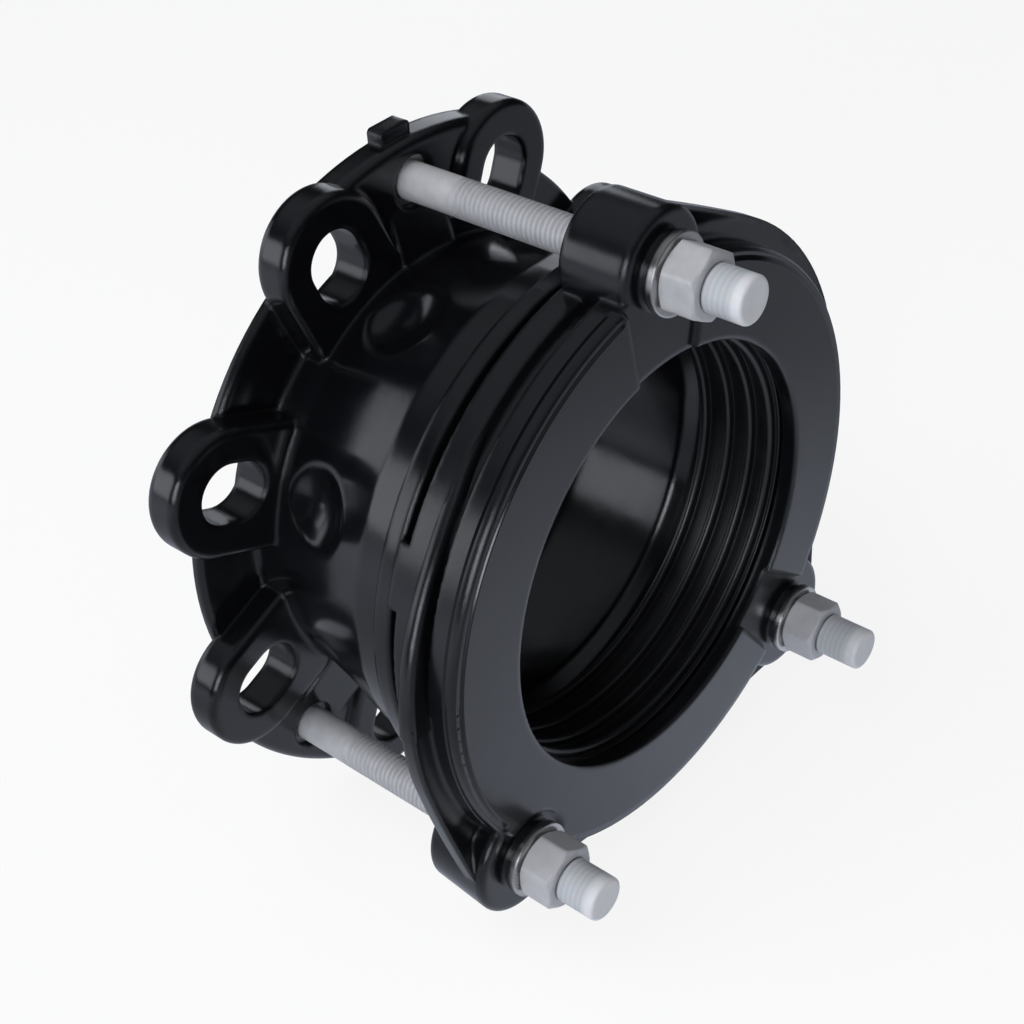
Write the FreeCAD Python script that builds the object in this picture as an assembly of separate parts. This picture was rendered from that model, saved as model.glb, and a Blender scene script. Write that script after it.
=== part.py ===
import FreeCAD, Part
import math
import os

# Flange adapter for plain-ended pipe, about DN 100, in millimetres.
# The pipe axis is +X: the flange's sealing face is at X = 0 and the pipe enters from +X.
# +Z is up and goes through the top clamp bolt.  Angles are measured from +Y towards +Z.

# Barrel and mouth of the body
BARREL_INNER_RADIUS = 68.5
HUB_WALL = 6.5
HUB_RADIUS = BARREL_INNER_RADIUS + HUB_WALL
HUB_END = 20.0
BELL_RADIUS = HUB_RADIUS + 9.0
BELL_START = 58.0
MOUTH_INNER_RADIUS = BARREL_INNER_RADIUS + 11.5
SEAT_START = 60.0
LIP_WALL = 8.6
LIP_RADIUS = MOUTH_INNER_RADIUS + LIP_WALL
LIP_BACK = 68.8
LIP_FRONT = 75.5
WATERWAY_LENGTH = 14.0
WATERWAY_RADIUS = BARREL_INNER_RADIUS - 16.5
SCOOP_RADIUS = 19.0
SCOOP_WALL = 4.0
SCOOP_AXIS_RADIUS = BARREL_INNER_RADIUS + SCOOP_WALL + SCOOP_RADIUS
SCOOP_CENTRE = 30.5
SCOOP_EDGE_FILLET = 6.0

# Clamp bolts, three of them between flange lugs
BOLT_ANGLES = (90.0, -45.0, 225.0)
BOLT_CIRCLE_RADIUS = LIP_RADIUS + 8.7
BOLT_RADIUS = 6.0
BOLT_HEAD_FLATS = 18.0
BOLT_HEAD_HEIGHT = 7.5
BOLT_TIP_CHAMFER = 1.2
BOLT_HOLE_RADIUS = BOLT_RADIUS + 2.0
HEAD_POCKET_CLEARANCE = 0.6
HEAD_POCKET_DEPTH = 6.5

# Flange with eight slotted lugs
LOBE_COUNT = 8
SLOT_WIDTH = 19.0
BOLT_CIRCLE_SMALL = 2 * HUB_RADIUS + 30.0
BOLT_CIRCLE_LARGE = BOLT_CIRCLE_SMALL + 10.5
SLOT_SIDE_WALL = 10.8
SLOT_END_WALL = 11.05
LOBE_HALF_WIDTH = SLOT_WIDTH / 2 + SLOT_SIDE_WALL
LOBE_TIP_RADIUS = (BOLT_CIRCLE_LARGE + SLOT_WIDTH) / 2 + SLOT_END_WALL
LOBE_FRONT = 16.0
LOBE_EDGE_FILLET = 2.5
LOBE_BACK_FILLET = 3.5
FLANGE_BACK = 3.5
RAISED_FACE_RADIUS = HUB_RADIUS + 3.0
SLOT_EDGE_CHAMFER = 0.6
WEB_FRONT = 7.0
WEB_REACH = 21.8
WEB_RADIUS = HUB_RADIUS + WEB_REACH
WEB_EDGE_FILLET = 1.8
BOLT_WEB_FRONT = 13.0
BOLT_WEB_RADIUS = BOLT_CIRCLE_RADIUS + 12.9
BOLT_WEB_EDGE_FILLET = 3.0
PANEL_HALF_WIDTH = 11.0
PANEL_RISE = 4.0
PANEL_LENGTH = 17.0
RIM_LUG_ANGLE = 91.0
RIM_LUG_HALF_WIDTH = 6.0
RIM_LUG_HEIGHT = 4.2
RIM_LUG_FRONT = 9.0

# End ring, with its lugs in the order of the bolts: radii at the back and front of each boss, the rim webs of
# each lug as degrees from its middle (negative towards smaller angles), and the face channels across the ring
# as angle and half angle.
RING_FRONT = 105.6
RING_BORE_RADIUS = BARREL_INNER_RADIUS - 0.5
RING_PLATE_BACK = 95.5
RING_PLATE_RADIUS = LIP_RADIUS + 6.6
RING_FACE_FILLET = 2.6
RING_NECK_RADIUS = LIP_RADIUS - 0.6
RING_NECK_STEP = 1.5
RING_BAND_FRONT = 88.0
RING_SKIRT_BACK = 80.0
RING_SKIRT_WALL = 3.0
TAB_BACK = 76.5
TAB_HALF_ANGLE = 6.0
TAB_ANGLES = (157.5, 22.5, 270.0)
RING_LIP_BACK = 99.5
RING_POCKET_RADIUS = MOUTH_INNER_RADIUS + 2.5
POCKET_CONE_LENGTH = 8.0
POCKET_FLOOR_WIDTH = 4.0
RING_SHOULDER = 85.5
SKIRT_CLEARANCE = 0.4
LUG_BACK_RADII = (17.4, 18.6, 18.6)
LUG_FRONT_RADII = (17.4, 20.4, 20.4)
LUG_BACK = 80.8
CHANNEL_DEPTH = 1.7
LUG_FRONT = RING_FRONT - CHANNEL_DEPTH
LUG_HOLE_RADIUS = BOLT_RADIUS + 1.0
LUG_EDGE_FILLET = 2.2
SEAT_INNER_RADIUS = 13.6
SEAT_OUTER_RADIUS = 15.0
SEAT_PAD_RADIUS = 11.0
SEAT_PAD_HEIGHT = 2.4
CHANNELS = ((90.0, 11.0), (-45.0, 8.5))
RIM_WEB_REACH = 7.3
RIM_WEB_RADIUS = RING_PLATE_RADIUS + RIM_WEB_REACH
RIM_WEB_FRONT = 96.3
RIM_WEB_THICKNESS = 4.8
RIM_WEB_FLAT = RIM_WEB_RADIUS - 1.5
RIM_WEB_SPANS = ((-68.0,), (68.0, -46.0), (46.0, -46.0))

# Gasket
GASKET_RIB_RADIUS = RING_BORE_RADIUS - 1.6
GASKET_GROOVE_RADIUS = RING_BORE_RADIUS + 1.4
GASKET_BACK = 67.6
GASKET_FRONT = 98.0
GASKET_RIBS = (69.6, 78.8, 87.4, 95.0)
GASKET_RIB_HALF_WIDTH = 1.6
GASKET_SEAT_CLEARANCE = 0.3
GASKET_NOSE_CLEARANCE = 1.5

# Fasteners on the front of the ring
WASHER_RADIUS = 12.0
WASHER_HOLE_RADIUS = BOLT_RADIUS + 0.5
WASHER_THICKNESS = 2.5
NUT_FLATS = 19.0
NUT_HEIGHT = 11.6
NUT_BORE_CLEARANCE = 0.05
CAP_RADIUS = 7.0
CAP_LENGTH = 12.0
CAP_END_WALL = 3.6
CAP_BORE_CLEARANCE = 0.1
CAP_END_FILLET = 1.2
CAP_NUT_GAP = 0.5
TIP_EXTRAS = (0.0, 2.5, 1.0)
STACK_BACK = LUG_FRONT + SEAT_PAD_HEIGHT
NUT_BACK = STACK_BACK + WASHER_THICKNESS
CAP_BACK = NUT_BACK + NUT_HEIGHT + CAP_NUT_GAP
BOLT_TIP = CAP_BACK + CAP_LENGTH - CAP_END_WALL - 0.2

X_AXIS = FreeCAD.Vector(1, 0, 0)
ORIGIN = FreeCAD.Vector(0, 0, 0)


def rounded_edges(corners):
    """Arcs and lines, as 2-D points, of a closed outline of (a, b) or (a, b, fillet) corners."""
    count = len(corners)
    starts = []
    ends = []
    middles = []
    for index in range(count):
        before = corners[index - 1]
        here = corners[index]
        after = corners[(index + 1) % count]
        radius = here[2] if len(here) > 2 else 0.0
        point = FreeCAD.Vector(here[0], here[1], 0)
        if radius <= 0:
            starts.append(point)
            ends.append(point)
            middles.append(None)
            continue
        towards_before = (FreeCAD.Vector(before[0], before[1], 0) - point).normalize()
        towards_after = (FreeCAD.Vector(after[0], after[1], 0) - point).normalize()
        half_angle = towards_before.getAngle(towards_after) / 2
        reach = radius / math.tan(half_angle)
        bisector = (towards_before + towards_after).normalize()
        centre = point + bisector * (radius / math.sin(half_angle))
        starts.append(point + towards_before * reach)
        ends.append(point + towards_after * reach)
        middles.append(centre - bisector * radius)
    edges = []
    for index in range(count):
        if middles[index] is not None:
            edges.append(("arc", starts[index], middles[index], ends[index]))
        next_start = starts[(index + 1) % count]
        if ends[index].distanceToPoint(next_start) > 1e-6:
            edges.append(("line", ends[index], next_start))
    return edges


def outline_face(corners, place):
    """Face of a rounded outline, with each 2-D corner put in space by place(a, b)."""
    edges = []
    for kind, *points in rounded_edges(corners):
        spots = [place(point.x, point.y) for point in points]
        if kind == "arc":
            edges.append(Part.Arc(*spots).toShape())
        else:
            edges.append(Part.LineSegment(*spots).toShape())
    return Part.Face(Part.Wire(edges))


def revolved(corners):
    """Solid of revolution about the pipe axis from (x, radius, fillet) corners."""
    face = outline_face(corners, lambda x, radius: FreeCAD.Vector(x, 0, radius))
    return face.revolve(ORIGIN, X_AXIS, 360)


def prism(corners, back, front):
    """Extrusion along the pipe axis of an outline of (y, z, fillet) corners."""
    face = outline_face(corners, lambda y, z: FreeCAD.Vector(back, y, z))
    return face.extrude(X_AXIS * (front - back))


def cylinder(radius, back, front, angle=None, distance=0.0):
    """Cylinder along the pipe axis, at a distance from it in the direction of an angle."""
    solid = Part.makeCylinder(radius, front - back, FreeCAD.Vector(back, 0, distance), X_AXIS)
    return solid if angle is None else turned(solid, angle)


def turned(shape, angle):
    """Copy of a shape that was made about +Z, turned about the pipe axis to stand at an angle."""
    copy = shape.copy()
    copy.rotate(ORIGIN, X_AXIS, angle - 90.0)
    return copy


def edges_at(shape, x, wanted=lambda edge: True):
    """Edges that lie wholly in the plane at x."""
    found = []
    for edge in shape.Edges:
        box = edge.BoundBox
        if abs(box.XMin - x) < 1e-4 and abs(box.XMax - x) < 1e-4 and wanted(edge):
            found.append(edge)
    return found


def hexagon(flats, back, front, distance=0.0):
    """Hexagonal prism along the pipe axis with a flat facing outwards."""
    corner = flats / math.sqrt(3)
    points = []
    for step in range(6):
        turn = math.radians(60 * step)
        points.append((corner * math.cos(turn), distance + corner * math.sin(turn)))
    return prism(points, back, front)


def lobe_angles():
    pitch = 360.0 / LOBE_COUNT
    return [BOLT_ANGLES[0] + pitch * (index + 0.5) for index in range(LOBE_COUNT)]


def flange_lobe():
    """One lug of the flange, standing on +Z, with its radial slot cut through."""
    centre = LOBE_TIP_RADIUS - LOBE_HALF_WIDTH
    root = BARREL_INNER_RADIUS + 3.0
    corners = (
        (-LOBE_HALF_WIDTH, root),
        (LOBE_HALF_WIDTH, root),
        (LOBE_HALF_WIDTH, centre + LOBE_HALF_WIDTH, LOBE_HALF_WIDTH - 0.01),
        (-LOBE_HALF_WIDTH, centre + LOBE_HALF_WIDTH, LOBE_HALF_WIDTH - 0.01),
    )
    lobe = prism(corners, FLANGE_BACK, LOBE_FRONT)
    outside = lambda edge: edge.BoundBox.ZMax > root + 1
    lobe = lobe.makeFillet(LOBE_EDGE_FILLET, edges_at(lobe, LOBE_FRONT, outside))
    lobe = lobe.makeFillet(LOBE_BACK_FILLET, edges_at(lobe, FLANGE_BACK, outside))
    lobe = lobe.cut(lobe_slot())
    inside = lambda edge: edge.BoundBox.ZMin > root + 1 and abs(edge.BoundBox.Center.y) < SLOT_WIDTH / 2 + 1
    mouth = [edge for edge in edges_at(lobe, LOBE_FRONT, inside) if edge.BoundBox.YLength < SLOT_WIDTH + 0.1
             and edge.BoundBox.ZMax < BOLT_CIRCLE_LARGE / 2 + SLOT_WIDTH / 2 + 0.1]
    return lobe.makeChamfer(SLOT_EDGE_CHAMFER, mouth)


def lobe_slot():
    """Radial slot that takes the bolts of both bolt circles."""
    inner = BOLT_CIRCLE_SMALL / 2
    outer = BOLT_CIRCLE_LARGE / 2
    half = SLOT_WIDTH / 2
    corners = (
        (-half, inner - half, half - 0.01),
        (half, inner - half, half - 0.01),
        (half, outer + half, half - 0.01),
        (-half, outer + half, half - 0.01),
    )
    return prism(corners, FLANGE_BACK - 1, LOBE_FRONT + 1)


def bolt_web():
    """Filling between two lugs that carries a clamp bolt, standing on +Z."""
    half_pitch = math.radians(180.0 / LOBE_COUNT)
    root = BARREL_INNER_RADIUS + 3.0
    side = BOLT_WEB_RADIUS * math.sin(half_pitch)
    rise = BOLT_WEB_RADIUS * math.cos(half_pitch)
    bottom = Part.LineSegment(
        FreeCAD.Vector(FLANGE_BACK, -root * math.sin(half_pitch), root * math.cos(half_pitch)),
        FreeCAD.Vector(FLANGE_BACK, root * math.sin(half_pitch), root * math.cos(half_pitch)),
    )
    right = Part.LineSegment(bottom.EndPoint, FreeCAD.Vector(FLANGE_BACK, side, rise))
    crown = Part.Arc(
        FreeCAD.Vector(FLANGE_BACK, side, rise),
        FreeCAD.Vector(FLANGE_BACK, 0, BOLT_WEB_RADIUS),
        FreeCAD.Vector(FLANGE_BACK, -side, rise),
    )
    left = Part.LineSegment(crown.EndPoint, bottom.StartPoint)
    wire = Part.Wire([curve.toShape() for curve in (bottom, right, crown, left)])
    web = Part.Face(wire).extrude(X_AXIS * (BOLT_WEB_FRONT - FLANGE_BACK))
    rim = edges_at(web, BOLT_WEB_FRONT, lambda edge: edge.BoundBox.ZMax > BOLT_WEB_RADIUS - 1)
    return web.makeFillet(BOLT_WEB_EDGE_FILLET, rim)


def head_pocket():
    """Pocket behind the web that holds a bolt head and keeps it from turning."""
    flats = BOLT_HEAD_FLATS + 2 * HEAD_POCKET_CLEARANCE
    return hexagon(flats, FLANGE_BACK - 1, FLANGE_BACK + HEAD_POCKET_DEPTH, BOLT_CIRCLE_RADIUS)


def nut_scoop():
    """Round hollow in the barrel that gives a spanner room at a flange bolt, on +Z."""
    return Part.makeSphere(SCOOP_RADIUS, FreeCAD.Vector(SCOOP_CENTRE, 0, SCOOP_AXIS_RADIUS))


def scoop_edges(body):
    """Edges where the hollows break through the barrel's outer surface."""
    found = []
    for edge in body.Edges:
        box = edge.BoundBox
        if box.XMin < LOBE_FRONT - 1 or box.XMax > SCOOP_CENTRE + SCOOP_RADIUS + 1:
            continue
        middle = edge.valueAt((edge.FirstParameter + edge.LastParameter) / 2)
        for angle in lobe_angles():
            turn = math.radians(angle)
            centre = FreeCAD.Vector(SCOOP_CENTRE, SCOOP_AXIS_RADIUS * math.cos(turn),
                                    SCOOP_AXIS_RADIUS * math.sin(turn))
            if abs(middle.distanceToPoint(centre) - SCOOP_RADIUS) < 0.01:
                found.append(edge)
    return found


def sloped_panel():
    """Shallow wedge from the barrel down to a clamp bolt's hole, on +Z."""
    foot = BOLT_CIRCLE_RADIUS - BOLT_HOLE_RADIUS + 2.0
    corners = [
        FreeCAD.Vector(BOLT_WEB_FRONT - 1, -PANEL_HALF_WIDTH, foot - PANEL_LENGTH),
        FreeCAD.Vector(BOLT_WEB_FRONT + PANEL_RISE, -PANEL_HALF_WIDTH, foot - PANEL_LENGTH),
        FreeCAD.Vector(BOLT_WEB_FRONT, -PANEL_HALF_WIDTH, foot),
        FreeCAD.Vector(BOLT_WEB_FRONT - 1, -PANEL_HALF_WIDTH, foot),
    ]
    wedge = Part.Face(Part.makePolygon(corners + corners[:1]))
    return wedge.extrude(FreeCAD.Vector(0, 2 * PANEL_HALF_WIDTH, 0))


def rim_lug():
    """Small locating lug on the flange's rim, made on +Z."""
    top = BOLT_WEB_RADIUS + RIM_LUG_HEIGHT
    low = BOLT_WEB_RADIUS - 4.0
    corners = (
        (-RIM_LUG_HALF_WIDTH, low),
        (RIM_LUG_HALF_WIDTH, low),
        (RIM_LUG_HALF_WIDTH, top, 1.5),
        (-RIM_LUG_HALF_WIDTH, top, 1.5),
    )
    return prism(corners, FLANGE_BACK, RIM_LUG_FRONT)


def barrel():
    """Hollow barrel from the sealing face to the mouth, with the gasket seat."""
    return revolved((
        (0, WATERWAY_RADIUS),
        (0, RAISED_FACE_RADIUS, 0.5),
        (FLANGE_BACK, RAISED_FACE_RADIUS),
        (FLANGE_BACK, WEB_RADIUS),
        (WEB_FRONT, WEB_RADIUS, WEB_EDGE_FILLET),
        (WEB_FRONT, HUB_RADIUS, 2.5),
        (HUB_END, HUB_RADIUS, 10.0),
        (BELL_START, BELL_RADIUS, 10.0),
        (LIP_BACK, BELL_RADIUS + 0.5, 2.0),
        (LIP_BACK, LIP_RADIUS, 1.2),
        (LIP_FRONT, LIP_RADIUS, 1.2),
        (LIP_FRONT, MOUTH_INNER_RADIUS, 1.0),
        (SEAT_START, BARREL_INNER_RADIUS, 3.0),
        (WATERWAY_LENGTH + 4.0, BARREL_INNER_RADIUS, 4.0),
        (WATERWAY_LENGTH, WATERWAY_RADIUS, 2.0),
    ))


def flange_body():
    body = barrel()
    body = body.cut([turned(nut_scoop(), angle) for angle in lobe_angles()])
    body = body.makeFillet(SCOOP_EDGE_FILLET, scoop_edges(body))
    hole = cylinder(BOLT_HOLE_RADIUS, FLANGE_BACK, BOLT_WEB_FRONT + 2, distance=BOLT_CIRCLE_RADIUS)
    added = [turned(flange_lobe(), angle) for angle in lobe_angles()]
    added += [turned(bolt_web(), angle) for angle in BOLT_ANGLES]
    added += [turned(sloped_panel(), angle) for angle in BOLT_ANGLES]
    added.append(turned(rim_lug(), RIM_LUG_ANGLE))
    body = body.fuse(added)
    removed = [turned(lobe_slot(), angle) for angle in lobe_angles()]
    removed += [turned(head_pocket(), angle) for angle in BOLT_ANGLES]
    removed += [turned(hole, angle) for angle in BOLT_ANGLES]
    body = body.cut(removed)
    return body.removeSplitter()


def ring_casting():
    """Turned form of the end ring: front plate, grooved neck, band and skirt, with the gasket's pocket."""
    skirt_inner = LIP_RADIUS + SKIRT_CLEARANCE
    band_radius = skirt_inner + RING_SKIRT_WALL
    return revolved((
        (RING_FRONT, RING_BORE_RADIUS, 0.8),
        (RING_FRONT, RING_PLATE_RADIUS, RING_FACE_FILLET),
        (RING_PLATE_BACK, RING_PLATE_RADIUS, 1.0),
        (RING_PLATE_BACK - RING_NECK_STEP, RING_NECK_RADIUS, 1.5),
        (RING_BAND_FRONT + RING_NECK_STEP, RING_NECK_RADIUS, 1.5),
        (RING_BAND_FRONT, band_radius, 1.0),
        (RING_SKIRT_BACK, band_radius, 0.8),
        (RING_SKIRT_BACK, skirt_inner),
        (RING_SHOULDER, skirt_inner),
        (RING_SHOULDER, RING_POCKET_RADIUS),
        (RING_LIP_BACK - POCKET_CONE_LENGTH, RING_POCKET_RADIUS, 3.0),
        (RING_LIP_BACK, RING_BORE_RADIUS + POCKET_FLOOR_WIDTH, 1.0),
        (RING_LIP_BACK, RING_BORE_RADIUS, 0.8),
    ))


def lug_boss(back_radius, front_radius):
    """Round boss of one lug with the casting's draft, standing on +Z."""
    foot = FreeCAD.Vector(LUG_BACK, 0, BOLT_CIRCLE_RADIUS)
    if back_radius == front_radius:
        boss = Part.makeCylinder(back_radius, LUG_FRONT - LUG_BACK, foot, X_AXIS)
    else:
        boss = Part.makeCone(back_radius, front_radius, LUG_FRONT - LUG_BACK, foot, X_AXIS)
    return boss.makeFillet(LUG_EDGE_FILLET, edges_at(boss, LUG_FRONT) + edges_at(boss, LUG_BACK))


def rim_web(span, lug_radius):
    """Web on one side of a lug on +Z: an arc round the ring that runs out in a tangent of the boss.

    It is flat along the ring and rises to the front of the boss further out.
    """
    lean = math.asin((RIM_WEB_RADIUS - lug_radius) / BOLT_CIRCLE_RADIUS)
    start = math.radians(90.0 - abs(span))
    middle = (start + lean) / 2
    back = LUG_BACK

    def spot(radius, angle):
        return FreeCAD.Vector(back, radius * math.cos(angle), radius * math.sin(angle))

    inner = RING_NECK_RADIUS - 1.0
    upright = math.pi / 2
    boss_axis = spot(BOLT_CIRCLE_RADIUS, upright)
    boss_side = boss_axis + FreeCAD.Vector(0, lug_radius * math.cos(lean), lug_radius * math.sin(lean))
    arc = Part.Arc(spot(RIM_WEB_RADIUS, start), spot(RIM_WEB_RADIUS, middle), spot(RIM_WEB_RADIUS, lean))
    inner_arc = Part.Arc(spot(inner, upright), spot(inner, (start + upright) / 2), spot(inner, start))
    corners = (spot(RIM_WEB_RADIUS, lean), boss_side, boss_axis, spot(inner, upright))
    edges = [arc.toShape()]
    edges += [Part.LineSegment(a, b).toShape() for a, b in zip(corners, corners[1:])]
    edges.append(inner_arc.toShape())
    edges.append(Part.LineSegment(spot(inner, start), spot(RIM_WEB_RADIUS, start)).toShape())
    outline = Part.Face(Part.Wire(edges)).extrude(X_AXIS * (LUG_FRONT - back + 5))
    far = BOLT_CIRCLE_RADIUS + lug_radius
    plate = revolved((
        (RIM_WEB_FRONT - RIM_WEB_THICKNESS, inner - 1),
        (RIM_WEB_FRONT - RIM_WEB_THICKNESS, RIM_WEB_FLAT, 4.0),
        (LUG_FRONT - RIM_WEB_THICKNESS, far),
        (LUG_FRONT, far),
        (RIM_WEB_FRONT, RIM_WEB_FLAT, 4.0),
        (RIM_WEB_FRONT, inner - 1),
    ))
    web = outline.common(plate)
    return web if span < 0 else web.mirror(ORIGIN, FreeCAD.Vector(0, 1, 0))


def skirt_tab():
    """Short sector where the skirt reaches further back over the body's lip, centred on +Z."""
    skirt_inner = LIP_RADIUS + SKIRT_CLEARANCE
    half_width = (skirt_inner + RING_SKIRT_WALL) * math.sin(math.radians(TAB_HALF_ANGLE))
    shell = revolved((
        (TAB_BACK, skirt_inner),
        (TAB_BACK, skirt_inner + RING_SKIRT_WALL, 0.8),
        (RING_SKIRT_BACK + 1.5, skirt_inner + RING_SKIRT_WALL),
        (RING_SKIRT_BACK + 1.5, skirt_inner),
    ))
    window = prism((
        (-half_width, skirt_inner - 2),
        (half_width, skirt_inner - 2),
        (half_width, skirt_inner + RING_SKIRT_WALL + 2),
        (-half_width, skirt_inner + RING_SKIRT_WALL + 2),
    ), TAB_BACK - 1, RING_SKIRT_BACK + 3)
    return shell.common(window)


def seat_recess():
    """Conical-sided recess in the ring's face round one bolt, on +Z."""
    slope = (SEAT_OUTER_RADIUS - SEAT_INNER_RADIUS) / CHANNEL_DEPTH
    return Part.makeCone(SEAT_INNER_RADIUS, SEAT_OUTER_RADIUS + slope, CHANNEL_DEPTH + 1.0,
                         FreeCAD.Vector(LUG_FRONT, 0, BOLT_CIRCLE_RADIUS), X_AXIS)


def face_channel(half_angle):
    """Shallow channel across the ring's face from the bore to a lug, on +Z."""
    slope = math.tan(math.radians(half_angle))
    near = RING_BORE_RADIUS - 8.0
    return prism((
        (-near * slope, near),
        (near * slope, near),
        (BOLT_CIRCLE_RADIUS * slope, BOLT_CIRCLE_RADIUS),
        (-BOLT_CIRCLE_RADIUS * slope, BOLT_CIRCLE_RADIUS),
    ), LUG_FRONT, RING_FRONT + 1)


def ring_hollow():
    """Room inside the ring for the body's lip and the gasket, which lugs and webs must not fill."""
    skirt_inner = LIP_RADIUS + SKIRT_CLEARANCE
    return revolved((
        (TAB_BACK - 2, 0),
        (TAB_BACK - 2, skirt_inner),
        (RING_SHOULDER, skirt_inner),
        (RING_SHOULDER, RING_POCKET_RADIUS),
        (RING_LIP_BACK - POCKET_CONE_LENGTH, RING_POCKET_RADIUS, 3.0),
        (RING_LIP_BACK, RING_BORE_RADIUS + POCKET_FLOOR_WIDTH, 1.0),
        (RING_LIP_BACK, 0),
    ))


def end_ring():
    ring = ring_casting()
    pad = cylinder(SEAT_PAD_RADIUS, LUG_FRONT - 1, STACK_BACK, distance=BOLT_CIRCLE_RADIUS)
    hole = cylinder(LUG_HOLE_RADIUS, LUG_BACK - 1, RING_FRONT + 5, distance=BOLT_CIRCLE_RADIUS)
    added = [turned(skirt_tab(), angle) for angle in TAB_ANGLES]
    lugs = zip(BOLT_ANGLES, LUG_BACK_RADII, LUG_FRONT_RADII, RIM_WEB_SPANS)
    for angle, back_radius, front_radius, spans in lugs:
        added.append(turned(lug_boss(back_radius, front_radius), angle))
        added += [turned(rim_web(span, back_radius), angle) for span in spans]
    ring = ring.fuse(added)
    removed = [ring_hollow()]
    removed += [turned(seat_recess(), angle) for angle in BOLT_ANGLES]
    removed += [turned(face_channel(half_angle), angle) for angle, half_angle in CHANNELS]
    ring = ring.cut(removed)
    ring = ring.fuse([turned(pad, angle) for angle in BOLT_ANGLES])
    ring = ring.cut([turned(hole, angle) for angle in BOLT_ANGLES])
    return ring.removeSplitter()


def gasket():
    """Wedge gasket with round ribs in its bore, between the body's seat and the ring's pocket."""
    seat_slope = (MOUTH_INNER_RADIUS - BARREL_INNER_RADIUS) / (LIP_FRONT - SEAT_START)
    seat_at_back = BARREL_INNER_RADIUS + (GASKET_BACK - SEAT_START) * seat_slope
    nose_start = RING_LIP_BACK - POCKET_CONE_LENGTH - GASKET_NOSE_CLEARANCE
    outer_radius = RING_POCKET_RADIUS - GASKET_SEAT_CLEARANCE
    outer = revolved((
        (GASKET_BACK, GASKET_GROOVE_RADIUS),
        (GASKET_BACK, seat_at_back - GASKET_SEAT_CLEARANCE),
        (LIP_FRONT, MOUTH_INNER_RADIUS - 3 * GASKET_SEAT_CLEARANCE),
        (LIP_FRONT + POCKET_FLOOR_WIDTH / 2, outer_radius),
        (nose_start, outer_radius, 2.0),
        (GASKET_FRONT, RING_BORE_RADIUS + POCKET_FLOOR_WIDTH + 1.0, 1.0),
        (GASKET_FRONT, GASKET_GROOVE_RADIUS),
    ))
    ribs = []
    for x in GASKET_RIBS:
        ribs.append(revolved((
            (x - GASKET_RIB_HALF_WIDTH, GASKET_GROOVE_RADIUS + 1.0),
            (x - GASKET_RIB_HALF_WIDTH, GASKET_RIB_RADIUS, 1.2),
            (x + GASKET_RIB_HALF_WIDTH, GASKET_RIB_RADIUS, 1.2),
            (x + GASKET_RIB_HALF_WIDTH, GASKET_GROOVE_RADIUS + 1.0),
        )))
    return outer.fuse(ribs).removeSplitter()


def clamp_bolt(extra):
    """Hexagon-headed bolt on +Z: head in the flange's pocket, tip beyond the nut."""
    tip = BOLT_TIP + extra
    seat = FLANGE_BACK + HEAD_POCKET_DEPTH
    head = hexagon(BOLT_HEAD_FLATS, seat - BOLT_HEAD_HEIGHT, seat, BOLT_CIRCLE_RADIUS)
    shank = cylinder(BOLT_RADIUS, seat - 1, tip, distance=BOLT_CIRCLE_RADIUS)
    shank = shank.makeChamfer(BOLT_TIP_CHAMFER, edges_at(shank, tip))
    return head.fuse(shank).removeSplitter()


def washer():
    disc = cylinder(WASHER_RADIUS, STACK_BACK, NUT_BACK, distance=BOLT_CIRCLE_RADIUS)
    hole = cylinder(WASHER_HOLE_RADIUS, STACK_BACK - 1, NUT_BACK + 1, distance=BOLT_CIRCLE_RADIUS)
    return disc.cut(hole)


def nut():
    """Hexagon nut with both ends chamfered by a cone."""
    back = NUT_BACK
    front = back + NUT_HEIGHT
    blank = hexagon(NUT_FLATS, back, front, BOLT_CIRCLE_RADIUS)
    corner = NUT_FLATS / math.sqrt(3)
    land = NUT_FLATS / 2 - 0.3
    drop = (corner - land) * math.tan(math.radians(30))
    barrel_face = outline_face((
        (back, 0),
        (back, land),
        (back + drop, corner),
        (front - drop, corner),
        (front, land),
        (front, 0),
    ), lambda x, radius: FreeCAD.Vector(x, 0, BOLT_CIRCLE_RADIUS + radius))
    envelope = barrel_face.revolve(FreeCAD.Vector(0, 0, BOLT_CIRCLE_RADIUS), X_AXIS, 360)
    bore = cylinder(BOLT_RADIUS + NUT_BORE_CLEARANCE, back - 1, front + 1, distance=BOLT_CIRCLE_RADIUS)
    return blank.common(envelope).cut(bore)


def thread_cap(extra):
    """Push-on cap over the bolt's tip, closed at its outer end."""
    front = CAP_BACK + CAP_LENGTH + extra
    shell = cylinder(CAP_RADIUS, CAP_BACK, front, distance=BOLT_CIRCLE_RADIUS)
    shell = shell.makeFillet(CAP_END_FILLET, edges_at(shell, front))
    bore = cylinder(BOLT_RADIUS + CAP_BORE_CLEARANCE, CAP_BACK - 1, front - CAP_END_WALL,
                    distance=BOLT_CIRCLE_RADIUS)
    return shell.cut(bore)


def save(name, shape):
    shape.exportStep(os.path.join("parts", name + ".step"))


os.makedirs("parts", exist_ok=True)
save("flange_body", flange_body())
save("end_ring", end_ring())
save("gasket", gasket())
for number, (bolt_angle, tip_extra) in enumerate(zip(BOLT_ANGLES, TIP_EXTRAS), start=1):
    save("clamp_bolt_%d" % number, turned(clamp_bolt(tip_extra), bolt_angle))
    save("washer_%d" % number, turned(washer(), bolt_angle))
    save("nut_%d" % number, turned(nut(), bolt_angle))
    save("thread_cap_%d" % number, turned(thread_cap(tip_extra), bolt_angle))
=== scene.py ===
import math
import bpy
from mathutils import Matrix, Vector


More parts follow.
